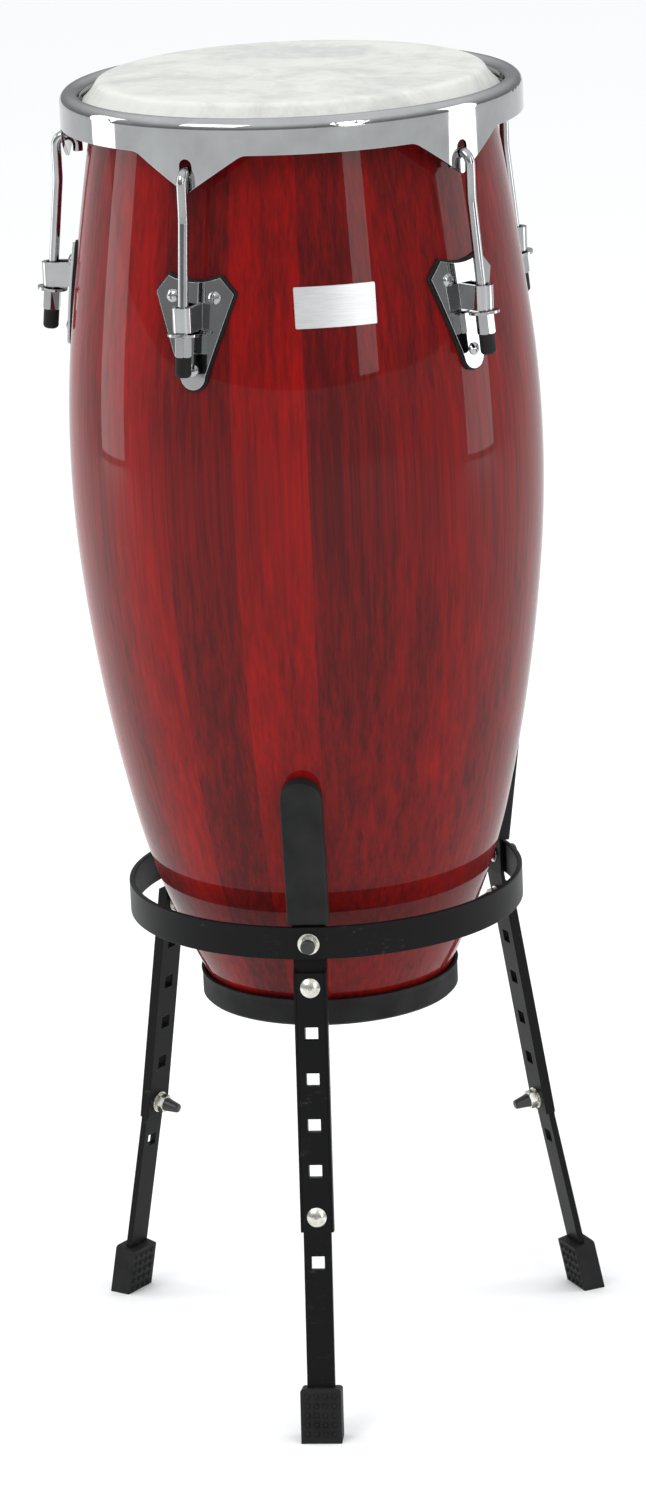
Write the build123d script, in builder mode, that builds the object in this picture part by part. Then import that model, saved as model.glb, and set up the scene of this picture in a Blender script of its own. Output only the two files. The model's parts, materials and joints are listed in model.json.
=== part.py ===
"""Conga: a tapered wooden hand drum with a tunable hide head, standing in a three-legged ring stand.

Millimetres, +Z up. The floor is z = 0 and the axis of the drum and of the stand is the Z axis.
An azimuth of 0 points along -Y, and azimuths grow towards +X.
"""

from build123d import *
from math import asin, atan2, cos, degrees, pi, radians, sin, tan
import os

os.makedirs("parts", exist_ok=True)

# ---------------------------------------------------------------- driving dimensions

# drum
BASE_Z = 291.0  # underside of the drum above the floor, seated in the stand
SHELL_BOTTOM = 294.0
SHELL_TOP = 1006.0
SHELL_WALL = 9.0
STAVES = 20  # four to each lug, with a stave under the middle of every lug
SHELL_LEAN = 27.4  # degrees from upright at the base
SHELL_PROFILE = [  # outer radius and height where the tangent arcs of the outline meet
    (86.6, SHELL_BOTTOM), (126.5, 385.0), (143.0, 440.0), (175.7, 640.0), (173.2, 820.0), (146.2, 1001.0),
]
HEAD_TOP = 1008.0
SKIN = 1.8
HEAD_EDGE = [(145.6, HEAD_TOP - SKIN / 2), (148.6, 1002.4), (156.3, 991.6)]  # down from the face to the hoop
BUMPER_RADIUS = 99.0
BUMPER_HEIGHT = 21.0

# rim and flesh hoop
SHEET = 2.5
RIM_RADIUS = 173.0
BAND_BOTTOM = 975.0
RIM_CREST = 1001.0
RIM_LIP_RADIUS = 159.0  # middle of the sheet where the rim presses on the hoop
RIM_LIP_BOTTOM = 989.8
EAR_WIDTH = 86.0
EAR_TIP = 946.5
EAR_SLOT = (10.0, 13.2)  # width and height
EAR_SLOT_BOTTOM = 958.7
HOOP_RADIUS = 155.8
HOOP_SECTION = 4.8  # radius of the hoop's round section

# tuning hardware, five sets
LUG_COUNT = 5
FIRST_LUG = -21.2  # azimuth
HOOK_ROD = 3.75  # radius
HOOK_CENTRE = (172.0, 954.6)
HOOK_BEND = 8.3
HOOK_NOSE = 950.6  # height of the hook's free end
HOOK_KNEE = 932.6  # where the straight leg starts to lean out
HOOK_LEAN = 6.0  # degrees
HOOK_END = 827.0
KNEE_RADIUS = 60.0
GASKET = 2.0
LUG_SHEET = 2.0
LUG_TOP = 885.0
LUG_BOTTOM = 803.0
BRACKET = (848.0, 866.5)  # bottom and top
BRACKET_WALL = 3.0
BRACKET_BORE = 4.6  # radius of its rounded end, inside
BRACKET_REACH = 188.6  # radius from the drum's axis to the middle of that end
WASHER_TOP = 847.0
HOOK_WASHER = (11.5, 2.0)  # radius and thickness
TENSION_NUT = (12.0, 15.0)  # across flats and height
NUT_CAP = (5.9, 15.0)  # radius and length
NUT_CLEARANCE = 0.05
SCREW = 2.5  # radius
SCREW_HOLE = 2.6
UPPER_SCREWS = (16.8, 870.0)  # offset to each side, and height
LOWER_SCREW = 817.0
SCREW_WASHER = (6.0, 1.0)  # radius and thickness
SCREW_NUT = (8.0, 4.0)  # across flats and height
LAYER_ARC = 40.0  # degrees of the wall that a lug or the badge is cut from
SHEET_ROOT = 135.0  # radius inside the wall from which sheets on the wall are pushed out
BADGE_AZIMUTH = 14.5
BADGE = (60.0, 30.0, 0.8)
BADGE_Z = 862.0

# stand
BAR = 25.0  # width of the flat bar that the ring and the arms are made of
RING_Z = 374.0
RING_RADIUS = 152.0
RING_BAR = 4.0
RING_BOLT = 3.0  # radius
RING_WASHER = (8.25, 1.5)
RING_NUT = (10.0, 5.0)
LEG_AZIMUTHS = (0.0, 120.0, 240.0)
ARM_SHEET = 3.0
ARM_RADIUS = 145.9  # middle of the arm's sheet where it stands upright inside the ring
ARM_KNEES = (360.0, 388.0)  # heights of the two bends
ARM_LEAN = 8.5  # degrees, above the ring
ARM_LENGTH = 108.0  # above its upper bend
LEG_LEAN = 9.0  # degrees, below the ring
FOOT_LEAN = 11.4  # degrees, below the channel
CHANNEL = (20.0, 221.7)  # start and end of the flanges, along the leg from the ring bolt
FLANGE = 1.8
CHANNEL_DEPTH = 8.0
LEG_BAR = (21.0, 5.0)
LEG_BAR_KNEE = 226.0
LEG_BAR_END = 6.0  # height of the bar's end, inside the foot
HOLE = 10.0
HOLE_PITCH = 35.0
BOLTED_HOLES = (1, 6)  # the first and the sixth hole hold the bolts
LEG_BOLT = 4.0  # radius
LEG_WASHER = (8.5, 1.6)
LEG_NUT = (13.0, 6.5)
BOLT_TAIL = 3.4
BOLT_CAP = 12.0  # length
SLEEVE = (31.0, 12.0, 118.0)  # width, thickness, length
SLEEVE_BOTTOM = 389.0
FOOT = (31.0, 17.5, 40.0)  # width, depth, height
STUD = 3.8

LUG_AZIMUTHS = [FIRST_LUG + k * 360 / LUG_COUNT for k in range(LUG_COUNT)]


# ---------------------------------------------------------------- planes

def outward(azimuth):
    """Level direction from the axis at an azimuth."""
    return Vector(sin(radians(azimuth)), -cos(radians(azimuth)), 0)


def sideways(azimuth):
    """Level direction along the tangent, towards growing azimuths."""
    return Vector(cos(radians(azimuth)), sin(radians(azimuth)), 0)


def side_plane(azimuth):
    """Upright plane through the axis: x is the radius and y is the height."""
    return Plane(origin=(0, 0, 0), x_dir=outward(azimuth), z_dir=-sideways(azimuth))


def face_plane(azimuth, radius, height, lean):
    """Plane that faces outwards and up by the lean: x runs sideways, y up, z outwards."""
    normal = outward(azimuth) * cos(radians(lean)) + Vector(0, 0, sin(radians(lean)))
    origin = outward(azimuth) * radius + Vector(0, 0, height)
    return Plane(origin=origin, x_dir=sideways(azimuth), z_dir=normal)


def hook_plane(azimuth, height):
    """Plane square to the lower leg of a hook, on its axis at a height: z runs up the rod."""
    radius = HOOK_CENTRE[0] + HOOK_BEND + (HOOK_KNEE - height) * tan(radians(HOOK_LEAN)) - KNEE_SHIFT
    up = Vector(0, 0, cos(radians(HOOK_LEAN))) - outward(azimuth) * sin(radians(HOOK_LEAN))
    return Plane(origin=outward(azimuth) * radius + Vector(0, 0, height), x_dir=sideways(azimuth), z_dir=up)


def leg_point(along, off=0.0):
    """Radius and height of a point of the lower leg: its way from the ring bolt, and off outwards."""
    lean = radians(LEG_LEAN)
    way = along - (RING_Z - ARM_KNEES[0])
    return (
        ARM_RADIUS + way * sin(lean) + off * cos(lean),
        ARM_KNEES[0] - way * cos(lean) + off * sin(lean),
    )


def leg_hole_plane(azimuth, hole):
    """Plane of the channel's web at one of its square holes."""
    radius, height = leg_point(hole * HOLE_PITCH)
    return face_plane(azimuth, radius, height, LEG_LEAN)


KNEE_DROP = KNEE_RADIUS * sin(radians(HOOK_LEAN))
KNEE_OUT = KNEE_RADIUS * (1 - cos(radians(HOOK_LEAN)))
KNEE_SHIFT = KNEE_DROP * tan(radians(HOOK_LEAN)) - KNEE_OUT


def outline(grown):
    """Chain of tangent arcs up the shell's side, moved outwards by a distance."""
    points = [(radius + grown, height) for radius, height in SHELL_PROFILE]
    tangent = (sin(radians(SHELL_LEAN)), cos(radians(SHELL_LEAN)))
    arcs = []
    for start, end in zip(points, points[1:]):
        arcs.append(TangentArc(start, end, tangent=tangent))
        tangent = arcs[-1] % 1
    return arcs


WALL_CURVE = Wire(outline(0))


def wall_at(height):
    """Outer radius of the shell at a height, and the angle in degrees by which its face looks up."""
    low, high = 0.0, 1.0
    for _ in range(40):
        middle = (low + high) / 2
        if (WALL_CURVE @ middle).Y < height:
            low = middle
        else:
            high = middle
    direction = WALL_CURVE % low
    return (WALL_CURVE @ low).X, degrees(atan2(-direction.X, direction.Y))


def screw_planes(azimuth):
    """The three screws of a lug, on the shell's outer face."""
    side, upper = UPPER_SCREWS
    radius, lean = wall_at(upper)
    turn = degrees(asin(side / radius))
    planes = [face_plane(azimuth + way * turn, radius, upper, lean) for way in (-1, 1)]
    radius, lean = wall_at(LOWER_SCREW)
    return planes + [face_plane(azimuth, radius, LOWER_SCREW, lean)]


# ---------------------------------------------------------------- shared shapes

def wall_layer(inner, outer):
    """Sector about azimuth 0 of the layer between two distances outside the shell's face."""
    with BuildPart() as layer:
        with BuildSketch(side_plane(-LAYER_ARC / 2)):
            with BuildLine():
                low, high = outline(inner), outline(outer)
                Line(low[-1] @ 1, high[-1] @ 1)
                Line(low[0] @ 0, high[0] @ 0)
            make_face()
        revolve(axis=Axis.Z, revolution_arc=LAYER_ARC)
    return layer.part


def lug_outline(grown):
    """Sketch of a lug: a shield with two eared shoulders and a round foot."""
    foot = 10.0
    middle = LUG_BOTTOM + foot
    with BuildSketch() as outline:
        with BuildLine():
            shoulder = (31.5, LUG_TOP - 12)
            ear = (21.0, LUG_TOP)
            Polyline((foot, middle), shoulder, ear)
            ThreePointArc(ear, (0, LUG_TOP - 4), (-ear[0], ear[1]))
            Polyline((-ear[0], ear[1]), (-shoulder[0], shoulder[1]), (-foot, middle))
            ThreePointArc((-foot, middle), (0, LUG_BOTTOM), (foot, middle))
        make_face()
        if grown:
            offset(amount=grown)
    return outline.sketch


def on_wall(outline, inner, outer):
    """Sheet at azimuth 0 that lies on the drum's side between two distances from the shell."""
    with BuildPart() as sheet:
        with BuildSketch(face_plane(0, SHEET_ROOT, 0, 0)):
            add(outline)
        extrude(amount=BRACKET_REACH - SHEET_ROOT)
        add(wall_layer(inner, outer), mode=Mode.INTERSECT)
    return sheet.part


def turned(azimuth):
    """Plane that carries a solid made at azimuth 0 round the axis."""
    return Plane.XY.rotated((0, 0, azimuth))


def hex_nut(across_flats, height, bore):
    """Nut from z = 0 up, with both faces chamfered to a circle."""
    reach = across_flats / 2 / cos(pi / 6)
    with BuildPart() as nut:
        with BuildSketch():
            Circle(reach)
        extrude(amount=height)
        chamfer(nut.edges().filter_by(GeomType.CIRCLE), reach - across_flats / 2)
        with BuildSketch():
            RegularPolygon(radius=reach, side_count=6)
        extrude(amount=height, mode=Mode.INTERSECT)
        with BuildSketch():
            Circle(bore)
        extrude(amount=height, mode=Mode.SUBTRACT)
    return nut.part


def flat_washer(radius, thickness, bore):
    """Washer from z = 0 up."""
    with BuildPart() as washer:
        with BuildSketch():
            Circle(radius)
            Circle(bore, mode=Mode.SUBTRACT)
        extrude(amount=thickness)
    return washer.part


def dome(radius, height):
    """Shallow domed head from z = 0 up."""
    with BuildPart() as head:
        with BuildSketch(Plane.XZ):
            with BuildLine():
                rim = 0.8
                Polyline((radius, rim), (radius, 0), (0, 0), (0, height))
                TangentArc((0, height), (radius, rim), tangent=(1, 0))
            make_face()
        revolve(axis=Axis.Z)
    return head.part


def placed(solid, planes, label):
    """One node of separate copies of a solid, one on each plane."""
    with BuildPart() as group:
        with Locations(*planes):
            add(solid)
    group.part.label = label
    export_step(group.part, f"parts/{label}.step")


# ---------------------------------------------------------------- shell

inner_points = [(radius - SHELL_WALL, height) for radius, height in SHELL_PROFILE]
stave_arc = 360 / STAVES

with BuildPart() as stave:
    with BuildSketch(side_plane(-stave_arc / 2)):
        with BuildLine():
            outline(0)
            outline(-SHELL_WALL)
            bearing = ((SHELL_PROFILE[-1][0] + inner_points[-1][0]) / 2, SHELL_TOP)
            ThreePointArc(SHELL_PROFILE[-1], bearing, inner_points[-1])
            Line(inner_points[0], SHELL_PROFILE[0])
        make_face()
    revolve(axis=Axis.Z, revolution_arc=stave_arc)

with BuildPart() as lug_stave:
    add(stave.part)
    with Locations(*screw_planes(0)):
        Cylinder(SCREW_HOLE, 3 * SHELL_WALL, mode=Mode.SUBTRACT)

# glued edge to edge, so they are gathered outside a builder, which would fuse them
staves = [turned(azimuth) * lug_stave.part.solid() for azimuth in LUG_AZIMUTHS]
for number in range(STAVES):
    if number % (STAVES // LUG_COUNT):
        staves.append(turned(FIRST_LUG + number * stave_arc) * stave.part.solid())
shell = Compound(staves)
shell.label = "shell"
export_step(shell, "parts/shell.step")

# ---------------------------------------------------------------- rubber ring under the shell

with BuildPart() as base_bumper:
    floor_inner = inner_points[0][0] - 3.0
    lip_inner = 95.8
    with BuildSketch(Plane.XZ):
        with BuildLine():
            Polyline(
                (floor_inner, BASE_Z),
                (BUMPER_RADIUS - 2.0, BASE_Z),
                (BUMPER_RADIUS, BASE_Z + 2.0),
                (BUMPER_RADIUS, BASE_Z + BUMPER_HEIGHT - 4),
                (BUMPER_RADIUS + 0.8, BASE_Z + BUMPER_HEIGHT),
                (BUMPER_RADIUS + 0.8 - 2.5, BASE_Z + BUMPER_HEIGHT),
                (lip_inner, BASE_Z + BUMPER_HEIGHT - 4),
                (SHELL_PROFILE[0][0] + 1.2, SHELL_BOTTOM + 0.4),
                (SHELL_PROFILE[0][0] + 1.2, SHELL_BOTTOM),
                (inner_points[0][0] - 0.5, SHELL_BOTTOM),
                (inner_points[0][0] - 0.5, SHELL_BOTTOM + 8),
                (floor_inner, SHELL_BOTTOM + 8),
                close=True,
            )
        make_face()
    revolve(axis=Axis.Z)
base_bumper.part.label = "base_bumper"
export_step(base_bumper.part, "parts/base_bumper.step")

# ---------------------------------------------------------------- head

with BuildPart() as head_skin:
    with BuildSketch(Plane.XZ):
        with BuildLine() as skin_path:
            FilletPolyline((0, HEAD_TOP - SKIN / 2), *HEAD_EDGE, radius=2.4)
        trace(skin_path.line, line_width=SKIN)
    revolve(axis=Axis.Z)
head_skin.part.label = "head_skin"
export_step(head_skin.part, "parts/head_skin.step")

with BuildPart() as flesh_hoop:
    with BuildSketch(Plane.XZ):
        with Locations((HOOP_RADIUS, RIM_LIP_BOTTOM - HOOP_SECTION + 0.3)):
            Circle(HOOP_SECTION)
    revolve(axis=Axis.Z)
flesh_hoop.part.label = "flesh_hoop"
export_step(flesh_hoop.part, "parts/flesh_hoop.step")

with BuildPart() as rim:
    # ears that hang from the band, cut out of a tube of the band's own radius
    for azimuth in LUG_AZIMUTHS:
        with BuildSketch(face_plane(azimuth, 0, 0, 0)) as ear:
            half, shoulder, top = EAR_WIDTH / 2, EAR_WIDTH / 2 + 10, BAND_BOTTOM + 8
            Polygon(
                (-shoulder, top), (-shoulder, BAND_BOTTOM), (-half, BAND_BOTTOM), (0, EAR_TIP),
                (half, BAND_BOTTOM), (shoulder, BAND_BOTTOM), (shoulder, top),
                align=None,
            )
            fillet(ear.vertices().group_by(Axis.Y)[0], radius=3)
            fillet(ear.vertices().group_by(Axis.Y)[-2].sort_by(Axis.X)[1:3], radius=14)
        extrude(amount=1.1 * RIM_RADIUS)
    with BuildSketch(Plane.XY.offset(EAR_TIP - 1)):
        Circle(RIM_RADIUS)
        Circle(RIM_RADIUS - SHEET, mode=Mode.SUBTRACT)
    extrude(amount=60, mode=Mode.INTERSECT)
    # band with the edge rolled over the hoop
    with BuildSketch(Plane.XZ):
        with BuildLine() as rim_path:
            band_middle = RIM_RADIUS - SHEET / 2
            roll = (band_middle - RIM_LIP_RADIUS) / 2
            roll_level = RIM_CREST - SHEET / 2 - roll
            Line((band_middle, BAND_BOTTOM), (band_middle, roll_level))
            ThreePointArc(
                (band_middle, roll_level),
                (band_middle - roll, roll_level + roll),
                (RIM_LIP_RADIUS, roll_level),
            )
            Line((RIM_LIP_RADIUS, roll_level), (RIM_LIP_RADIUS, RIM_LIP_BOTTOM))
        trace(rim_path.line, line_width=SHEET)
    revolve(axis=Axis.Z)
    for azimuth in LUG_AZIMUTHS:
        with BuildSketch(face_plane(azimuth, RIM_RADIUS, EAR_SLOT_BOTTOM + EAR_SLOT[1] / 2, 0)):
            SlotOverall(EAR_SLOT[1], EAR_SLOT[0], rotation=90)
        extrude(amount=3 * SHEET, both=True, mode=Mode.SUBTRACT)
rim.part.label = "rim"
export_step(rim.part, "parts/rim.step")

# ---------------------------------------------------------------- lugs

with BuildPart() as lug_plate:
    add(on_wall(lug_outline(0), GASKET, GASKET + LUG_SHEET))
    # strap bracket that the hook's rod passes through
    with BuildSketch(Plane.XY.offset(BRACKET[0])):
        wide = BRACKET_BORE + BRACKET_WALL
        neck = BRACKET_REACH - 22
        with Locations((0, -(BRACKET_REACH + neck) / 2)):
            Rectangle(2 * wide, BRACKET_REACH - neck)
        with Locations((0, -BRACKET_REACH)):
            Circle(wide)
            Circle(BRACKET_BORE, mode=Mode.SUBTRACT)
        with Locations((0, -(BRACKET_REACH + neck) / 2)):
            Rectangle(2 * BRACKET_BORE, BRACKET_REACH - neck, mode=Mode.SUBTRACT)
    extrude(amount=BRACKET[1] - BRACKET[0])
    add(wall_layer(-SHELL_WALL, GASKET), mode=Mode.SUBTRACT)
    with Locations(*screw_planes(0)):
        Cylinder(SCREW_HOLE, 3 * SHELL_WALL, mode=Mode.SUBTRACT)

with BuildPart() as lug_gasket:
    add(on_wall(lug_outline(1.5), 0, GASKET))
    with Locations(*screw_planes(0)):
        Cylinder(SCREW_HOLE, 3 * SHELL_WALL, mode=Mode.SUBTRACT)

for number, azimuth in enumerate(LUG_AZIMUTHS, start=1):
    placed(lug_plate.part, [turned(azimuth)], f"lug_plate_{number}")
placed(lug_gasket.part, [turned(azimuth) for azimuth in LUG_AZIMUTHS], "lug_gaskets")

# screws, from outside: head on the plate, shank through the wall, washer and nut inside
HEAD_SEAT = (GASKET + LUG_SHEET) * 0.995
NUT_SEAT = SHELL_WALL + 0.15

with BuildPart() as screw:
    with Locations((0, 0, HEAD_SEAT)):
        add(dome(4.75, 2.6))
    with BuildSketch(Plane.XY.offset(HEAD_SEAT)):
        Circle(SCREW)
    extrude(amount=-(HEAD_SEAT + NUT_SEAT + SCREW_WASHER[1] + SCREW_NUT[1] + 2))
    with BuildSketch(Plane.XY.offset(HEAD_SEAT + 1.2)):
        Rectangle(5, 1.1)
        Rectangle(1.1, 5)
    extrude(amount=3, mode=Mode.SUBTRACT)

all_screws = [plane for azimuth in LUG_AZIMUTHS for plane in screw_planes(azimuth)]
placed(screw.part, all_screws, "lug_screws")
inside = [plane.offset(-NUT_SEAT - SCREW_WASHER[1]) for plane in all_screws]
placed(flat_washer(*SCREW_WASHER, SCREW_HOLE), inside, "lug_screw_washers")
inside = [plane.offset(-SCREW_NUT[1]) for plane in inside]
placed(hex_nut(*SCREW_NUT, SCREW), inside, "lug_screw_nuts")

# ---------------------------------------------------------------- hooks and their nuts

for number, azimuth in enumerate(LUG_AZIMUTHS, start=1):
    with BuildPart() as hook:
        centre, level = HOOK_CENTRE
        with BuildLine(side_plane(azimuth)) as rod_path:
            Line((centre - HOOK_BEND, HOOK_NOSE), (centre - HOOK_BEND, level))
            ThreePointArc((centre - HOOK_BEND, level), (centre, level + HOOK_BEND), (centre + HOOK_BEND, level))
            Line((centre + HOOK_BEND, level), (centre + HOOK_BEND, HOOK_KNEE))
            knee = (centre + HOOK_BEND + KNEE_OUT, HOOK_KNEE - KNEE_DROP)
            TangentArc((centre + HOOK_BEND, HOOK_KNEE), knee, tangent=(0, -1))
            Line(knee, (knee[0] + (knee[1] - HOOK_END) * tan(radians(HOOK_LEAN)), HOOK_END))
        nose = outward(azimuth) * (centre - HOOK_BEND) + Vector(0, 0, HOOK_NOSE)
        with BuildSketch(Plane(origin=nose, x_dir=sideways(azimuth), z_dir=(0, 0, 1))):
            Circle(HOOK_ROD)
        sweep(path=rod_path.line)
    hook.part.label = f"hook_{number}"
    export_step(hook.part, f"parts/hook_{number}.step")

washer_plane = [hook_plane(azimuth, WASHER_TOP).offset(-HOOK_WASHER[1]) for azimuth in LUG_AZIMUTHS]
placed(flat_washer(*HOOK_WASHER, HOOK_ROD + 0.45), washer_plane, "hook_washers")

nut_solid = hex_nut(*TENSION_NUT, HOOK_ROD + NUT_CLEARANCE)
with BuildPart() as nut_cap:
    with BuildSketch():
        Circle(NUT_CAP[0])
    extrude(amount=NUT_CAP[1])
    fillet(nut_cap.edges().group_by(Axis.Z)[0], radius=3)
    with BuildSketch(Plane.XY.offset(NUT_CAP[1])):
        Circle(HOOK_ROD + 0.3)
    extrude(amount=-(NUT_CAP[1] - 2), mode=Mode.SUBTRACT)

for number, azimuth in enumerate(LUG_AZIMUTHS, start=1):
    seat = hook_plane(azimuth, WASHER_TOP).offset(-HOOK_WASHER[1] - NUT_CLEARANCE - TENSION_NUT[1])
    placed(nut_solid, [seat], f"tension_nut_{number}")
    placed(nut_cap.part, [seat.offset(-NUT_CAP[1])], f"nut_cap_{number}")

# ---------------------------------------------------------------- badge

with BuildSketch() as badge_outline:
    with Locations((0, BADGE_Z)):
        RectangleRounded(BADGE[0], BADGE[1], 1)
placed(on_wall(badge_outline.sketch, 0, BADGE[2]), [turned(BADGE_AZIMUTH)], "badge")

# ---------------------------------------------------------------- stand ring

ring_bolt_planes = [face_plane(azimuth, RING_RADIUS, RING_Z, 0) for azimuth in LEG_AZIMUTHS]

with BuildPart() as stand_ring:
    with BuildSketch(Plane.XY.offset(RING_Z - BAR / 2)):
        Circle(RING_RADIUS)
        Circle(RING_RADIUS - RING_BAR, mode=Mode.SUBTRACT)
    extrude(amount=BAR)
    fillet(stand_ring.edges().filter_by(GeomType.CIRCLE), radius=0.6)
    with Locations(*ring_bolt_planes):
        Cylinder(RING_BOLT, 4 * RING_BAR, mode=Mode.SUBTRACT)
stand_ring.part.label = "stand_ring"
export_step(stand_ring.part, "parts/stand_ring.step")

# ---------------------------------------------------------------- legs

up_lean, foot_lean = radians(ARM_LEAN), radians(FOOT_LEAN)
ARM_TOP = (ARM_RADIUS + ARM_LENGTH * sin(up_lean), ARM_KNEES[1] + ARM_LENGTH * cos(up_lean))
bar_off = ARM_SHEET / 2 + LEG_BAR[1] / 2
bar_knee = leg_point(LEG_BAR_KNEE, bar_off)
BAR_FOOT = (bar_knee[0] + (bar_knee[1] - LEG_BAR_END) * tan(foot_lean), LEG_BAR_END)
last_hole = int((LEG_BAR_KNEE - 20) // HOLE_PITCH) + 1
seat_off = CHANNEL_DEPTH - ARM_SHEET / 2  # the leg bar's outer face, level with the flanges' edges

for number, azimuth in enumerate(LEG_AZIMUTHS, start=1):
    holes = [leg_hole_plane(azimuth, hole) for hole in range(1, last_hole + 1)]
    with BuildPart() as leg_arm:
        with BuildSketch(side_plane(azimuth)):
            with BuildLine() as arm_path:
                knees = [(ARM_RADIUS, ARM_KNEES[1]), (ARM_RADIUS, ARM_KNEES[0])]
                FilletPolyline(ARM_TOP, *knees, leg_point(CHANNEL[1]), radius=8)
            trace(arm_path.line, line_width=ARM_SHEET)
        extrude(amount=BAR / 2, both=True)
        for side in (-1, 1):
            edge = side_plane(azimuth).offset(side * (BAR / 2 - FLANGE / 2))
            with BuildSketch(edge):
                web = ARM_SHEET / 2 - 0.5
                Polygon(
                    leg_point(CHANNEL[0], web), leg_point(CHANNEL[0] + 4, seat_off),
                    leg_point(CHANNEL[1], seat_off), leg_point(CHANNEL[1], web),
                    align=None,
                )
            extrude(amount=FLANGE / 2, both=True)
        with BuildSketch(*holes):
            Rectangle(HOLE, HOLE)
        extrude(amount=CHANNEL_DEPTH, both=True, mode=Mode.SUBTRACT)
        with Locations(ring_bolt_planes[number - 1]):
            Cylinder(RING_BOLT, 6 * RING_BAR, mode=Mode.SUBTRACT)
    leg_arm.part.label = f"leg_arm_{number}"
    export_step(leg_arm.part, f"parts/leg_arm_{number}.step")

    with BuildPart() as lower_leg:
        with BuildSketch(side_plane(azimuth)):
            with BuildLine() as bar_path:
                FilletPolyline(leg_point(CHANNEL[0] + 4, bar_off), bar_knee, BAR_FOOT, radius=40)
            trace(bar_path.line, line_width=LEG_BAR[1])
        extrude(amount=LEG_BAR[0] / 2, both=True)
        with BuildSketch(*holes, leg_hole_plane(azimuth, last_hole + 1)):
            Rectangle(HOLE, HOLE)
        extrude(amount=2 * CHANNEL_DEPTH, both=True, mode=Mode.SUBTRACT)
    lower_leg.part.label = f"lower_leg_{number}"
    export_step(lower_leg.part, f"parts/lower_leg_{number}.step")

    sleeve_face = face_plane(azimuth, ARM_RADIUS, ARM_KNEES[1], -ARM_LEAN)
    with BuildPart() as sleeve:
        with BuildSketch(sleeve_face):
            width, thick, length = SLEEVE
            with BuildLine():
                low, high = SLEEVE_BOTTOM - ARM_KNEES[1], length - width / 2
                Polyline((-width / 2, high), (-width / 2, low), (width / 2, low), (width / 2, high))
                ThreePointArc((width / 2, high), (0, length), (-width / 2, high))
            make_face()
        extrude(amount=thick / 2, both=True)
        fillet(sleeve.faces().sort_by(Axis(sleeve_face.origin, sleeve_face.z_dir))[-1].edges(), radius=2)
        add(leg_arm.part, mode=Mode.SUBTRACT)
    sleeve.part.label = f"sleeve_{number}"
    export_step(sleeve.part, f"parts/sleeve_{number}.step")

    # rubber foot: a block along the bar, cut level at the floor, with rows of studs
    foot_radius = BAR_FOOT[0] + LEG_BAR_END * tan(foot_lean)
    foot_face = face_plane(azimuth, foot_radius, 0, FOOT_LEAN)
    with BuildPart() as foot:
        width, depth, height = FOOT
        with BuildSketch(foot_face):
            with Locations((0, height / 2 - 4)):
                RectangleRounded(width, height + 8, 2.5)
        extrude(amount=depth / 2, both=True)
        for way in (-1, 1):
            with BuildSketch(foot_face.offset(way * depth / 2)):
                with Locations((0, height / 2)):
                    with GridLocations(6.8, 7.2, 4, 5):
                        Rectangle(STUD, STUD)
            extrude(amount=way * 1.5, taper=25)
        split(bisect_by=Plane.XY, keep=Keep.TOP)
        add(lower_leg.part, mode=Mode.SUBTRACT)
    foot.part.label = f"foot_{number}"
    export_step(foot.part, f"parts/foot_{number}.step")

# ---------------------------------------------------------------- ring bolts

inner_face = -(RING_RADIUS - ARM_RADIUS + ARM_SHEET / 2)  # the arm's inner face, from the ring's outer face

with BuildPart() as ring_bolt:
    with Locations(Plane(origin=(0, 0, inner_face), x_dir=(1, 0, 0), z_dir=(0, 0, -1))):
        add(dome(6.5, 3.2))
    with BuildSketch(Plane.XY.offset(inner_face)):
        Circle(RING_BOLT)
    extrude(amount=RING_WASHER[1] + RING_NUT[1] + 2.5 - inner_face)

with BuildPart() as ring_cap:
    with BuildSketch():
        Circle(5.5)
    extrude(amount=5)
    fillet(ring_cap.edges().group_by(Axis.Z)[-1], radius=2)
    with BuildSketch():
        Circle(RING_BOLT)
    extrude(amount=2.5, mode=Mode.SUBTRACT)

placed(ring_bolt.part, ring_bolt_planes, "ring_bolts")
placed(flat_washer(*RING_WASHER, RING_BOLT), ring_bolt_planes, "ring_washers")
placed(hex_nut(*RING_NUT, RING_BOLT), [p.offset(RING_WASHER[1]) for p in ring_bolt_planes], "ring_nuts")
cap_planes = [plane.offset(RING_WASHER[1] + RING_NUT[1]) for plane in ring_bolt_planes]
placed(ring_cap.part, cap_planes, "ring_bolt_caps")

# ---------------------------------------------------------------- leg bolts

web_face = -ARM_SHEET / 2

with BuildPart() as leg_bolt:
    with Locations((0, 0, seat_off)):
        add(dome(7.5, 3.6))
    with BuildSketch(Plane.XY.offset(seat_off)):
        Rectangle(HOLE - 0.4, HOLE - 0.4)
    extrude(amount=-CHANNEL_DEPTH)
    with BuildSketch(Plane.XY.offset(web_face)):
        Circle(LEG_BOLT)
    extrude(amount=-(LEG_WASHER[1] + LEG_NUT[1] + BOLT_TAIL))

with BuildPart() as leg_cap:
    with BuildSketch():
        Circle(5.5)
    with BuildSketch(Plane.XY.offset(BOLT_CAP)):
        Circle(3.5)
    loft()
    fillet(leg_cap.edges().group_by(Axis.Z)[-1], radius=1.5)
    with BuildSketch():
        Circle(LEG_BOLT)
    extrude(amount=BOLT_TAIL, mode=Mode.SUBTRACT)

bolted = [leg_hole_plane(azimuth, hole) for azimuth in LEG_AZIMUTHS for hole in BOLTED_HOLES]
inwards = [Plane(origin=plane.offset(web_face).origin, x_dir=plane.x_dir, z_dir=-plane.z_dir) for plane in bolted]
placed(leg_bolt.part, bolted, "leg_bolts")
placed(flat_washer(*LEG_WASHER, LEG_BOLT), inwards, "leg_washers")
placed(hex_nut(*LEG_NUT, LEG_BOLT), [p.offset(LEG_WASHER[1]) for p in inwards], "leg_nuts")
placed(leg_cap.part, [p.offset(LEG_WASHER[1] + LEG_NUT[1]) for p in inwards], "leg_bolt_caps")
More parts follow.
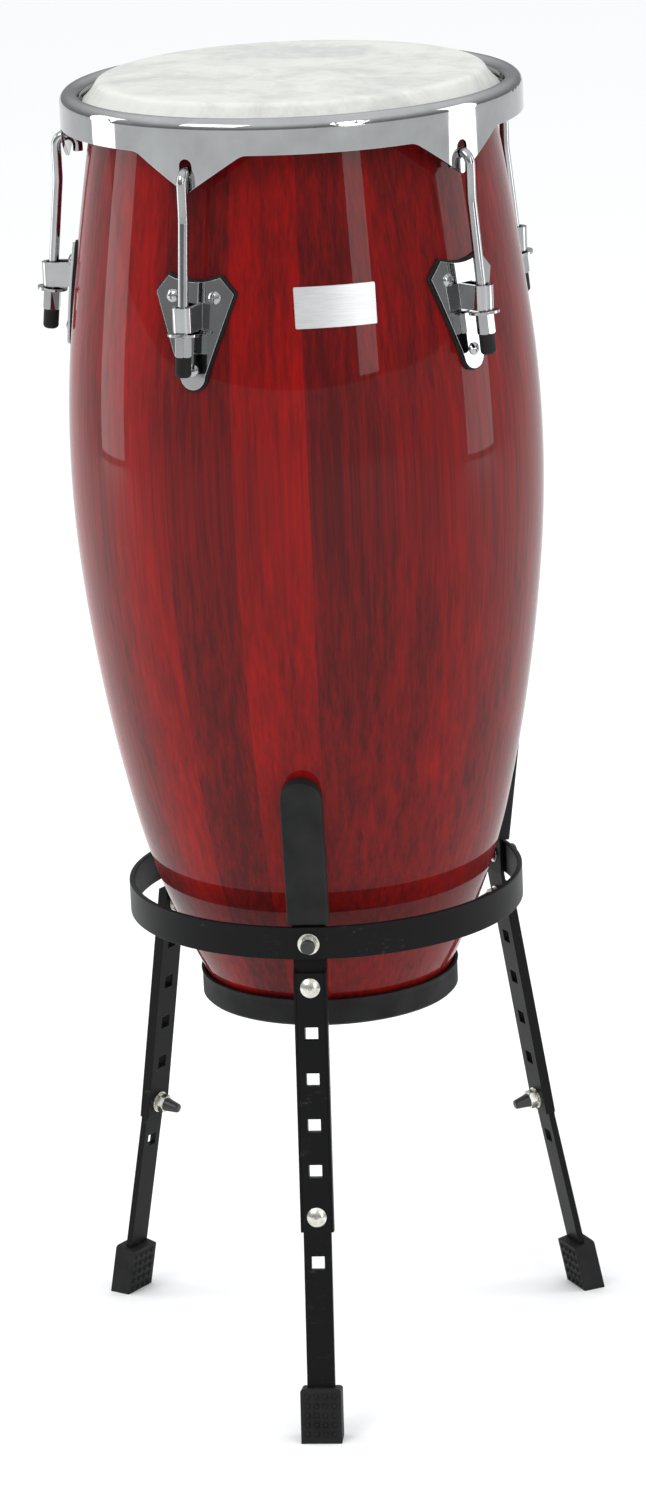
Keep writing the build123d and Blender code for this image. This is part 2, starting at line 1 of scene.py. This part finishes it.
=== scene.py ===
"""Finished look of a conga drum in its stand: lacquered wood, natural hide, chrome and black steel."""

import json
from math import cos, pi, radians, sin

import bmesh
import bpy
import numpy as np
from bpy.props import FloatProperty, FloatVectorProperty, IntProperty
from mathutils import Matrix, Vector


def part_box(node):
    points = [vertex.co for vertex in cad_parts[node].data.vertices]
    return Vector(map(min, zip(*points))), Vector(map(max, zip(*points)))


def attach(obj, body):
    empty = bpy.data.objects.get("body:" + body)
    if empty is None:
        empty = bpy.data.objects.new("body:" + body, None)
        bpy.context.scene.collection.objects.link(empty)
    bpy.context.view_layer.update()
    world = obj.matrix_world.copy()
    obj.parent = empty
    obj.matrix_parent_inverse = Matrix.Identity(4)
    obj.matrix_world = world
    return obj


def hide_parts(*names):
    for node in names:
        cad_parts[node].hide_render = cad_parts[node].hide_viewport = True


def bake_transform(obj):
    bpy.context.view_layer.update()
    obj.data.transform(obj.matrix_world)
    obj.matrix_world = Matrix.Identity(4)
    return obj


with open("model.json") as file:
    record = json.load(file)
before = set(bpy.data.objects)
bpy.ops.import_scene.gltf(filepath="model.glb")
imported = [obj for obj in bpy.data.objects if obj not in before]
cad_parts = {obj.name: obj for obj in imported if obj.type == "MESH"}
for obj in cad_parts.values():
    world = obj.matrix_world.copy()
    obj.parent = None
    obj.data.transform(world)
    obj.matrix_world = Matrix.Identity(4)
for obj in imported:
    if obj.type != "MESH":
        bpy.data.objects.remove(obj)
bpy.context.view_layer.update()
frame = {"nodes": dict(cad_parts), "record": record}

bl_info = {
    "name": "Conga Drum",
    "version": (1, 0, 0),
    "blender": (4, 5, 0),
    "location": "View3D > Sidebar > Conga",
    "description": "Builds the surfaces, finishes and studio of a conga drum in its stand",
    "category": "Object",
}

MM = 0.001
AROUND = 192  # steps round the drum's axis
STAVE_JOINT = radians(5.8)  # azimuth of one glued joint of the shell
SHELL_LEAN = radians(27.4)
SHELL_WALL = 9 * MM
SHELL_TOP = 1006 * MM
SHELL_JOINTS = [  # radius and height where the arcs of the outline meet
    (86.6 * MM, 294 * MM), (126.5 * MM, 385 * MM), (143.0 * MM, 440 * MM),
    (175.7 * MM, 640 * MM), (173.2 * MM, 820 * MM), (146.2 * MM, 1001 * MM),
]

SKIN = 1.6 * MM
FACE_RADIUS = 140 * MM  # where the head starts to bend down
FACE_BEND = 7 * MM
COLLAR_FOOT = (156.9 * MM, 991.9 * MM)  # radius and height where the skin meets the hoop
PLEAT_START = 147 * MM
PLEAT_FADE = 10 * MM


# ---------------------------------------------------------------- shader expressions

class Socket:
    """An output socket that adds Math nodes when it is used in an expression."""

    def __init__(self, tree, socket):
        self.tree = tree
        self.socket = socket

    def _math(self, operation, *values):
        node = self.tree.nodes.new("ShaderNodeMath")
        node.operation = operation
        for slot, value in zip(node.inputs, values):
            if isinstance(value, Socket):
                self.tree.links.new(value.socket, slot)
            else:
                slot.default_value = value
        return Socket(self.tree, node.outputs[0])

    def __add__(self, other):
        return self._math("ADD", self, other)

    def __sub__(self, other):
        return self._math("SUBTRACT", self, other)

    def __rsub__(self, other):
        return self._math("SUBTRACT", other, self)

    def __mul__(self, other):
        return self._math("MULTIPLY", self, other)

    __radd__ = __add__
    __rmul__ = __mul__

    def floor(self):
        return self._math("FLOOR", self)

    def clamped(self, low=0.0, high=1.0):
        return self._math("MINIMUM", self._math("MAXIMUM", self, low), high)

    def angle_from(self, other):
        """Angle whose sine side is this value and whose cosine side is the other."""
        return self._math("ARCTAN2", self, other)


class Finish:
    """A material under construction: a Principled shader and the nodes that feed it."""

    def __init__(self, name):
        self.material = bpy.data.materials.new(name)
        self.material.use_nodes = True
        self.tree = self.material.node_tree
        self.shader = self.tree.nodes["Principled BSDF"]

    def node(self, kind, settings=(), output=0, **sockets):
        """Add a node: its settings first, then its sockets' values or links. Gives one output."""
        node = self.tree.nodes.new(kind)
        for key, value in dict(settings).items():
            setattr(node, key, value)
        for key, value in sockets.items():
            self._feed(node.inputs[key.replace("_", " ")], value)
        return Socket(self.tree, node.outputs[output])

    def _feed(self, slot, value):
        if isinstance(value, Socket):
            self.tree.links.new(value.socket, slot)
        else:
            slot.default_value = value

    def place(self, scale=(1, 1, 1)):
        """Object coordinates in metres, scaled."""
        coordinates = self.node("ShaderNodeTexCoord", output=3)
        return self.node("ShaderNodeMapping", Vector=coordinates, Scale=scale)

    def noise(self, vector, scale, detail=3.0, roughness=0.5, distortion=0.0):
        """Noise about 0.5, in bumps per metre."""
        return self.node(
            "ShaderNodeTexNoise", Vector=vector, Scale=scale, Detail=detail, Roughness=roughness,
            Distortion=distortion,
        )

    def ramp(self, value, stops):
        """Colour ramp from pairs of position and colour."""
        node = self.tree.nodes.new("ShaderNodeValToRGB")
        elements = node.color_ramp.elements
        while len(elements) < len(stops):
            elements.new(0.5)
        for element, (position, colour) in zip(elements, stops):
            element.position = position
            element.color = (*colour, 1.0)
        self._feed(node.inputs[0], value)
        return Socket(self.tree, node.outputs[0])

    def mix(self, amount, first, second):
        """Blend two colours."""
        node = self.tree.nodes.new("ShaderNodeMix")
        node.data_type = "RGBA"
        for index, value in ((0, amount), (6, first), (7, second)):
            if isinstance(value, tuple) and len(value) == 3:
                value = (*value, 1.0)
            self._feed(node.inputs[index], value)
        return Socket(self.tree, node.outputs[2])

    def bump(self, height, distance, strength=1.0, normal=None):
        """Normal of a height pattern, over another normal where one is given."""
        links = {} if normal is None else {"Normal": normal}
        return self.node("ShaderNodeBump", Height=height, Distance=distance, Strength=strength, **links)

    def rounded(self, radius):
        """Normal that rounds sharp edges by a radius."""
        return self.node("ShaderNodeBevel", {"samples": 4}, Radius=radius)

    def set(self, **sockets):
        """Feed the shader's own sockets. Gives the material."""
        for key, value in sockets.items():
            self._feed(self.shader.inputs[key.replace("_", " ")], value)
        return self.material


def lacquered_wood(settings):
    """Red stain over upright grain in staves under deep gloss lacquer, and bare wood inside."""
    f = Finish("lacquered_wood")
    x = f.node("ShaderNodeSeparateXYZ", Vector=f.place())
    y = Socket(f.tree, x.socket.node.outputs[1])
    around = (x.angle_from(0 - y) - STAVE_JOINT) * (settings.staves / (2 * pi))
    stave = around.floor() + settings.staves
    tone = f.node("ShaderNodeTexWhiteNoise", {"noise_dimensions": "1D"}, W=stave)
    band = f.noise(f.place(scale=(1.0, 1.0, 0.05)), 26.0, detail=2.0, roughness=0.5)
    streak = f.noise(f.place(scale=(1.0, 1.0, 0.012)), 240.0, detail=3.0, roughness=0.6)
    fine = f.noise(f.place(scale=(1.0, 1.0, 0.01)), 900.0, detail=2.0)
    fleck = f.noise(f.place(scale=(1.0, 1.0, 0.1)), 160.0, detail=3.0)
    level = (
        (band - 0.5) * 0.75 + (streak - 0.5) * 0.95 + (tone - 0.5) * 0.30 + (fine - 0.5) * 0.4
        + (fleck - 0.5) * 0.1 + 0.5
    ).clamped()
    deep, middle, bright = (tuple(c) for c in (settings.stain_dark, settings.stain, settings.stain_bright))
    colour = f.ramp(level, [(0.18, deep), (0.5, middle), (0.84, bright)])
    bare = f.ramp(level, [(0.18, (0.26, 0.15, 0.08)), (0.84, (0.52, 0.36, 0.21))])
    inside = f.node("ShaderNodeAttribute", {"attribute_name": "inside"}, output=2)
    orange_peel = f.noise(f.place(scale=(1.0, 1.0, 0.5)), 34.0, detail=1.0)
    f.set(Coat_Weight=(1 - inside) * 0.72, Coat_Roughness=0.025, Coat_IOR=1.27)
    return f.set(
        Base_Color=f.mix(inside, colour, bare), Roughness=0.6, Specular_IOR_Level=0.05,
        Normal=f.bump(orange_peel, 0.00035, 0.3),
    )


def natural_hide(settings):
    """Untanned hide: off-white with faint clouds and pores."""
    f = Finish("natural_hide")
    cloud = f.noise(f.place(), 14.0, detail=5.0, roughness=0.6, distortion=0.8)
    vein = f.noise(f.place(), 38.0, detail=6.0, roughness=0.7, distortion=1.6)
    pores = f.noise(f.place(), 900.0, detail=2.0)
    level = (cloud * 0.75 + vein * 0.45 - 0.1).clamped()
    pale, grey = tuple(settings.hide), tuple(settings.hide_shade)
    colour = f.ramp(level, [(0.36, grey), (0.56, pale), (0.8, tuple(min(1.0, c * 1.08) for c in pale))])
    height = pores * 0.35 + vein * 0.65
    return f.set(
        Base_Color=colour, Roughness=0.56 - cloud * 0.12, Normal=f.bump(height, 0.0006, 0.35), IOR=1.42
    )


def chrome(settings):
    """Polished chrome plate with rounded edges and faint polishing haze."""
    f = Finish("chrome_plate")
    haze = f.noise(f.place(), 25.0, detail=3.0, roughness=0.6)
    colour = f.ramp(haze, [(0.3, (0.33, 0.333, 0.335)), (0.7, (0.42, 0.425, 0.43))])
    return f.set(
        Base_Color=colour, Metallic=1.0, Roughness=(haze * 0.08 + 0.01).clamped(0.03, 0.12),
        Normal=f.rounded(0.0007),
    )


def zinc_plate(settings):
    """Bright zinc on bolts and nuts, slightly yellow and softly worn."""
    f = Finish("zinc_plate")
    wear = f.noise(f.place(), 220.0, detail=3.0)
    colour = f.ramp(wear, [(0.35, (0.50, 0.49, 0.42)), (0.65, (0.74, 0.73, 0.68))])
    return f.set(Base_Color=colour, Metallic=1.0, Roughness=wear * 0.2 + 0.14, Normal=f.rounded(0.0005))


def brushed_plate(settings):
    """Plate with level brush strokes."""
    f = Finish("brushed_plate")
    stroke = f.noise(f.place(scale=(1.0, 1.0, 40.0)), 60.0, detail=3.0)
    colour = f.ramp(stroke, [(0.3, (0.58, 0.58, 0.58)), (0.7, (0.72, 0.72, 0.73))])
    return f.set(
        Base_Color=colour, Metallic=0.85, Roughness=stroke * 0.12 + 0.34, Normal=f.bump(stroke, 0.0001, 0.3)
    )


def black_steel(settings):
    """Satin black coating over flat bar, scuffed grey where it has been knocked."""
    f = Finish("black_steel")
    scuff = f.noise(f.place(scale=(1.0, 1.0, 2.2)), 130.0, detail=6.0, roughness=0.75, distortion=0.5)
    cloud = f.noise(f.place(), 18.0, detail=2.0)
    mark = ((scuff - 0.58) * 7.0).clamped() * ((cloud - 0.50) * 6.0).clamped()
    colour = f.mix(mark * 0.6, tuple(settings.steel), (0.10, 0.10, 0.095))
    grit = f.noise(f.place(), 1400.0, detail=1.0)
    edge = f.rounded(0.0008)
    return f.set(
        Base_Color=colour, Roughness=cloud * 0.2 + mark * 0.2 + 0.28,
        Normal=f.bump(grit, 0.00005, 0.4, edge), Specular_IOR_Level=0.08,
    )


def black_rubber(settings):
    """Matte moulded rubber with a dusty bloom."""
    f = Finish("black_rubber")
    bloom = f.noise(f.place(), 45.0, detail=4.0)
    grain = f.noise(f.place(), 1800.0, detail=2.0)
    colour = f.ramp(bloom, [(0.35, tuple(settings.rubber)), (0.75, tuple(c * 1.9 for c in settings.rubber))])
    return f.set(
        Base_Color=colour, Roughness=0.66 - bloom * 0.12,
        Normal=f.bump(grain, 0.00008, 0.5, f.rounded(0.001)), Specular_IOR_Level=0.15,
    )


def black_plastic(settings):
    """Moulded plastic end caps."""
    f = Finish("black_plastic")
    grain = f.noise(f.place(), 600.0, detail=2.0)
    colour = (0.018, 0.018, 0.018, 1.0)
    return f.set(Base_Color=colour, Roughness=grain * 0.15 + 0.32, Normal=f.rounded(0.0006))


FINISHES = {
    "lacquered_wood": lacquered_wood, "hide": natural_hide, "chrome": chrome, "zinc": zinc_plate,
    "brushed_plate": brushed_plate, "black_steel": black_steel, "black_rubber": black_rubber,
    "black_plastic": black_plastic,
}


def finish(name):
    """Material of a slot, made once from the scene's settings."""
    key = "finish_" + name
    made = bpy.data.materials.get(bpy.context.scene.get(key, ""))
    if made is None:
        made = FINISHES[name](bpy.context.scene.conga_finish)
        bpy.context.scene[key] = made.name
    return made


# ---------------------------------------------------------------- surfaces

def turned_surface(name, radii, heights, ripple=None):
    """Profile (radius, height) carried round the axis; a radius of 0 becomes one pole point.

    ripple(turn, step) may return how far each point moves outwards, as an array.
    """
    radii, heights = np.asarray(radii, float), np.asarray(heights, float)
    turn = np.linspace(0, 2 * pi, AROUND, endpoint=False)
    grid_turn, grid_step = np.meshgrid(turn, np.arange(len(radii)), indexing="ij")
    reach = radii[grid_step]
    if ripple is not None:
        reach = reach + np.where(reach > 0, ripple(grid_turn, grid_step), 0.0)
    points = np.stack([reach * np.sin(grid_turn), -reach * np.cos(grid_turn), heights[grid_step]], axis=-1)
    steps = len(radii)
    a = (np.arange(AROUND)[:, None] * steps + np.arange(steps - 1)[None, :]).ravel()
    b = ((np.arange(AROUND)[:, None] + 1) % AROUND * steps + np.arange(steps - 1)[None, :]).ravel()
    faces = np.stack([a, b, b + 1, a + 1], axis=1)
    mesh = bpy.data.meshes.new(name)
    mesh.from_pydata(points.reshape(-1, 3), [], faces.tolist())
    return closed_object(name, mesh)


def closed_object(name, mesh):
    """Object of a mesh whose doubled points are merged and whose faces point outwards."""
    work = bmesh.new()
    work.from_mesh(mesh)
    bmesh.ops.remove_doubles(work, verts=work.verts, dist=1e-6)
    bmesh.ops.recalc_face_normals(work, faces=work.faces)
    work.to_mesh(mesh)
    work.free()
    mesh.polygons.foreach_set("use_smooth", np.ones(len(mesh.polygons), bool))
    thing = bpy.data.objects.new(name, mesh)
    bpy.context.scene.collection.objects.link(thing)
    return thing


def dressed(thing, slot, body, *nodes):
    """Give a new piece its finish and its body, and hide the CAD nodes that it stands for."""
    thing.data.materials.clear()
    thing.data.materials.append(finish(slot))
    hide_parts(*nodes)
    if body:
        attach(thing, body)
    return thing


def arc_chain(points, lean, grown, steps):
    """Outline of tangent arcs through points, starting at a lean from upright, moved out by a distance.

    Each arc turns by twice the angle between its chord and its starting direction.
    """
    radii, heights = [], []
    for (r0, z0), (r1, z1) in zip(points, points[1:]):
        chord = np.hypot(r1 - r0, z1 - z0)
        half = np.arctan2(r1 - r0, z1 - z0) - lean
        curve = 2 * np.sin(half) / chord
        way = np.linspace(0, 2 * half / curve, steps, endpoint=False)
        out, along = (1 - np.cos(curve * way)) / curve, np.sin(curve * way) / curve
        radii.append(r0 + grown + along * np.sin(lean) + out * np.cos(lean))
        heights.append(z0 + along * np.cos(lean) - out * np.sin(lean))
        lean += 2 * half
    radii.append([points[-1][0] + grown])
    heights.append([points[-1][1]])
    return np.concatenate(radii), np.concatenate(heights)


# ---------------------------------------------------------------- settings

def colour_property(name, description, default):
    """Colour that a user may change."""
    return FloatVectorProperty(name=name, description=description, default=default, subtype="COLOR")


class CongaFinish(bpy.types.PropertyGroup):
    """Colours of the finishes."""

    staves: IntProperty(
        name="Staves", description="Staves glued round the shell", default=20, min=6, max=40
    )
    stain: colour_property("Stain", "Middle tone of the red stain", (0.140, 0.0030, 0.0028))
    stain_dark: colour_property("Dark grain", "Stain in the dense grain", (0.062, 0.0028, 0.0032))
    stain_bright: colour_property("Bright grain", "Stain in the open grain", (0.245, 0.0032, 0.0024))
    hide: colour_property("Hide", "Pale tone of the head", (0.68, 0.68, 0.645))
    hide_shade: colour_property("Hide clouds", "Grey tone of the head", (0.53, 0.535, 0.51))
    steel: colour_property("Black coating", "Coating on the stand", (0.007, 0.007, 0.0075))
    rubber: colour_property("Rubber", "Rubber sleeves, feet and bumper", (0.009, 0.009, 0.0095))


class CongaStudio(bpy.types.PropertyGroup):
    """Camera and light."""

    azimuth: FloatProperty(
        name="Azimuth", description="Camera's way round the drum", subtype="ANGLE", default=radians(5.8)
    )
    distance: FloatProperty(
        name="Distance", description="Level distance to the drum's axis", unit="LENGTH", default=4.2845
    )
    height: FloatProperty(name="Height", description="Camera above the floor", unit="LENGTH", default=1.7011)
    pitch: FloatProperty(
        name="Pitch", description="Camera looks down", subtype="ANGLE", default=radians(15.89)
    )
    roll: FloatProperty(
        name="Roll", description="Camera leans to the right", subtype="ANGLE", default=radians(2.57)
    )
    lens: FloatProperty(name="Lens", description="Focal length for a 36 mm tall frame", default=138.98)
    key: FloatProperty(name="Key light", description="Watts of the large soft light", default=75.0)


# ---------------------------------------------------------------- operators

class CONGA_OT_shell(bpy.types.Operator):
    """Turned wooden shell with a rounded bearing edge"""

    bl_idname = "conga.shell"
    bl_label = "Shell"

    def execute(self, context):
        outer = arc_chain(SHELL_JOINTS, SHELL_LEAN, 0.0, 24)
        inner = arc_chain(SHELL_JOINTS, SHELL_LEAN, -SHELL_WALL, 24)
        half = SHELL_WALL / 2
        sweep = np.linspace(0, pi, 12)[1:-1]
        edge_r = outer[0][-1] - half + half * np.cos(sweep)
        edge_z = outer[1][-1] + (SHELL_TOP - outer[1][-1]) * np.sin(sweep)
        radii = np.concatenate([outer[0], edge_r, inner[0][::-1], outer[0][:1]])
        heights = np.concatenate([outer[1], edge_z, inner[1][::-1], outer[1][:1]])
        thing = turned_surface("wooden_shell", radii, heights)
        self.mark_inside(thing.data, *outer)
        dressed(thing, "lacquered_wood", "drum", "shell")
        return {"FINISHED"}

    def mark_inside(self, mesh, outer_radii, outer_heights):
        """Attribute that is 1 on points nearer to the inner wall than to the outer one."""
        points = np.empty(len(mesh.vertices) * 3)
        mesh.vertices.foreach_get("co", points)
        x, y, z = points.reshape(-1, 3).T
        depth = np.interp(z, outer_heights, outer_radii) - np.hypot(x, y)
        inside = mesh.attributes.new("inside", "FLOAT", "POINT")
        inside.data.foreach_set("value", (depth > 0.6 * SHELL_WALL).astype(np.float32))


class CONGA_OT_head(bpy.types.Operator):
    """Hide head: flat playing face, soft edge, collar drawn down under the rim"""

    bl_idname = "conga.head"
    bl_label = "Head"

    def execute(self, context):
        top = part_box("head_skin")[1][2]
        # upper side: flat face, round shoulder, then a collar that hollows towards the rim
        face_r = np.append(np.array([0.0, 30, 60, 90, 115, 132]) * MM, FACE_RADIUS)
        face_z = np.full(len(face_r), top)
        turn = np.linspace(0, radians(62), 9)[1:]
        shoulder_r = FACE_RADIUS + FACE_BEND * np.sin(turn)
        shoulder_z = top - FACE_BEND * (1 - np.cos(turn))
        down = np.linspace(0, 1, 9)[1:]
        foot_r, foot_z = COLLAR_FOOT
        collar_r = shoulder_r[-1] + (foot_r - shoulder_r[-1]) * (0.75 * down + 0.25 * down**2)
        collar_z = shoulder_z[-1] + (foot_z - shoulder_z[-1]) * (1.15 * down - 0.15 * down**2)
        upper_r = np.concatenate([face_r, shoulder_r, collar_r])
        upper_z = np.concatenate([face_z, shoulder_z, collar_z])
        radii = np.concatenate([upper_r, np.maximum(upper_r - SKIN * 0.6, 0)[::-1]])
        heights = np.concatenate([upper_z, (upper_z - SKIN)[::-1]])

        def puckers(turn, step):
            """Two sine waves round the axis that grow with the way past the start of the pleats."""
            way = np.clip((radii[step] - PLEAT_START) / PLEAT_FADE, 0, 1)
            return way * MM * (0.45 * (np.sin(turn * 43) + 0.6 * np.sin(turn * 71 + 1.3)) - 0.3)

        thing = turned_surface("hide_head", radii, heights, puckers)
        dressed(thing, "hide", None, "head_skin")
        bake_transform(thing)
        return {"FINISHED"}


class CONGA_OT_finishes(bpy.types.Operator):
    """Finishes of the CAD pieces that keep their own shape"""

    bl_idname = "conga.finishes"
    bl_label = "Finishes"

    def execute(self, context):
        slots = {part["node"]: part["material_slot"] for part in frame["record"]["subparts"]}
        for name, thing in frame["nodes"].items():
            material = finish(slots[name])
            for index in range(len(thing.material_slots)):
                thing.material_slots[index].material = material
        return {"FINISHED"}


class CONGA_OT_stage(bpy.types.Operator):
    """Pale floor, soft lights and the camera"""

    bl_idname = "conga.stage"
    bl_label = "Stage"

    def execute(self, context):
        studio = context.scene.conga_studio
        self.floor(context)
        self.world(context)
        self.light(context, "key_softbox", (-2.6, -3.2, 4.2), (2.6, 2.0), studio.key)
        self.light(context, "window_softbox", (2.6, -3.4, 2.1), (0.8, 2.8), studio.key * 0.45)
        self.light(context, "rear_left_softbox", (-3.4, 0.6, 1.4), (1.2, 2.8), studio.key * 0.45)
        self.light(context, "rear_right_softbox", (3.4, 0.4, 1.4), (1.2, 2.8), studio.key * 0.45)
        self.camera(context, studio)
        context.scene.view_settings.view_transform = "Standard"
        return {"FINISHED"}

    def floor(self, context):
        material = bpy.data.materials.new("studio_floor")
        material.use_nodes = True
        shader = material.node_tree.nodes["Principled BSDF"]
        shader.inputs["Base Color"].default_value = (0.93, 0.93, 0.93, 1)
        shader.inputs["Roughness"].default_value = 0.75
        mesh = bpy.data.meshes.new("studio_floor")
        reach = 40.0
        corners = [(-reach, -reach, 0), (reach, -reach, 0), (reach, reach, 0), (-reach, reach, 0)]
        mesh.from_pydata(corners, [], [(0, 1, 2, 3)])
        floor = bpy.data.objects.new("studio_floor", mesh)
        mesh.materials.append(material)
        context.scene.collection.objects.link(floor)

    def world(self, context):
        world = bpy.data.worlds.new("studio_world")
        context.scene.world = world
        world.use_nodes = True
        tree = world.node_tree
        background = tree.nodes["Background"]
        coordinates = tree.nodes.new("ShaderNodeTexCoord")
        parts = tree.nodes.new("ShaderNodeSeparateXYZ")
        ramp = tree.nodes.new("ShaderNodeValToRGB")
        tree.links.new(coordinates.outputs["Generated"], parts.inputs[0])
        tree.links.new(parts.outputs[2], ramp.inputs[0])
        tree.links.new(ramp.outputs[0], background.inputs["Color"])
        stops = [(0.0, 0.32), (0.16, 0.36), (0.34, 0.62), (0.75, 1.25)]
        while len(ramp.color_ramp.elements) < len(stops):
            ramp.color_ramp.elements.new(0.5)
        for element, (position, level) in zip(ramp.color_ramp.elements, stops):
            element.position = position
            element.color = (level * 0.97, level * 0.99, level, 1.0)

    def light(self, context, name, place, size, power):
        """Area light that faces the middle of the drum."""
        data = bpy.data.lights.new(name, "AREA")
        data.shape = "RECTANGLE"
        data.size, data.size_y = size
        data.energy = power
        lamp = bpy.data.objects.new(name, data)
        lamp.matrix_world = facing(place, (0, 0, 0.6))
        context.scene.collection.objects.link(lamp)

    def camera(self, context, studio):
        data = bpy.data.cameras.new("studio_camera")
        data.sensor_fit = "VERTICAL"
        data.sensor_height = 36.0
        data.lens = studio.lens
        data.clip_end = 200
        data.shift_x = 0.0017
        camera = bpy.data.objects.new("studio_camera", data)
        context.scene.collection.objects.link(camera)
        a = studio.azimuth
        place = Matrix.Translation((studio.distance * sin(a), -studio.distance * cos(a), studio.height))
        look = Matrix.Rotation(a, 4, "Z") @ Matrix.Rotation(pi / 2 - studio.pitch, 4, "X")
        camera.matrix_world = place @ look @ Matrix.Rotation(-studio.roll, 4, "Z")
        context.scene.camera = camera


def facing(place, target):
    """Matrix at a place whose -Z axis points at a target."""
    way = Vector(target) - Vector(place)
    return Matrix.Translation(place) @ way.to_track_quat("-Z", "Y").to_matrix().to_4x4()


OPERATORS = (CONGA_OT_shell, CONGA_OT_head, CONGA_OT_finishes, CONGA_OT_stage)


class CONGA_PT_sidebar(bpy.types.Panel):
    """Sidebar with the drum's finish and studio settings and the buttons that build its pieces"""

    bl_label = "Conga"
    bl_idname = "CONGA_PT_sidebar"
    bl_space_type = "VIEW_3D"
    bl_region_type = "UI"
    bl_category = "Conga"

    def draw(self, context):
        for group in (context.scene.conga_finish, context.scene.conga_studio):
            box = self.layout.box()
            for name in group.bl_rna.properties.keys():
                if name not in {"rna_type", "name"}:
                    box.prop(group, name)
        for operator in OPERATORS:
            self.layout.operator(operator.bl_idname)


CLASSES = (CongaFinish, CongaStudio, *OPERATORS, CONGA_PT_sidebar)


def register():
    for item in CLASSES:
        bpy.utils.register_class(item)
    bpy.types.Scene.conga_finish = bpy.props.PointerProperty(type=CongaFinish)
    bpy.types.Scene.conga_studio = bpy.props.PointerProperty(type=CongaStudio)


def unregister():
    del bpy.types.Scene.conga_finish
    del bpy.types.Scene.conga_studio
    for item in reversed(CLASSES):
        bpy.utils.unregister_class(item)


def main():
    register()
    bpy.ops.conga.stage()
    bpy.ops.conga.finishes()
    bpy.ops.conga.shell()
    bpy.ops.conga.head()


if __name__ == "__main__":
    main()
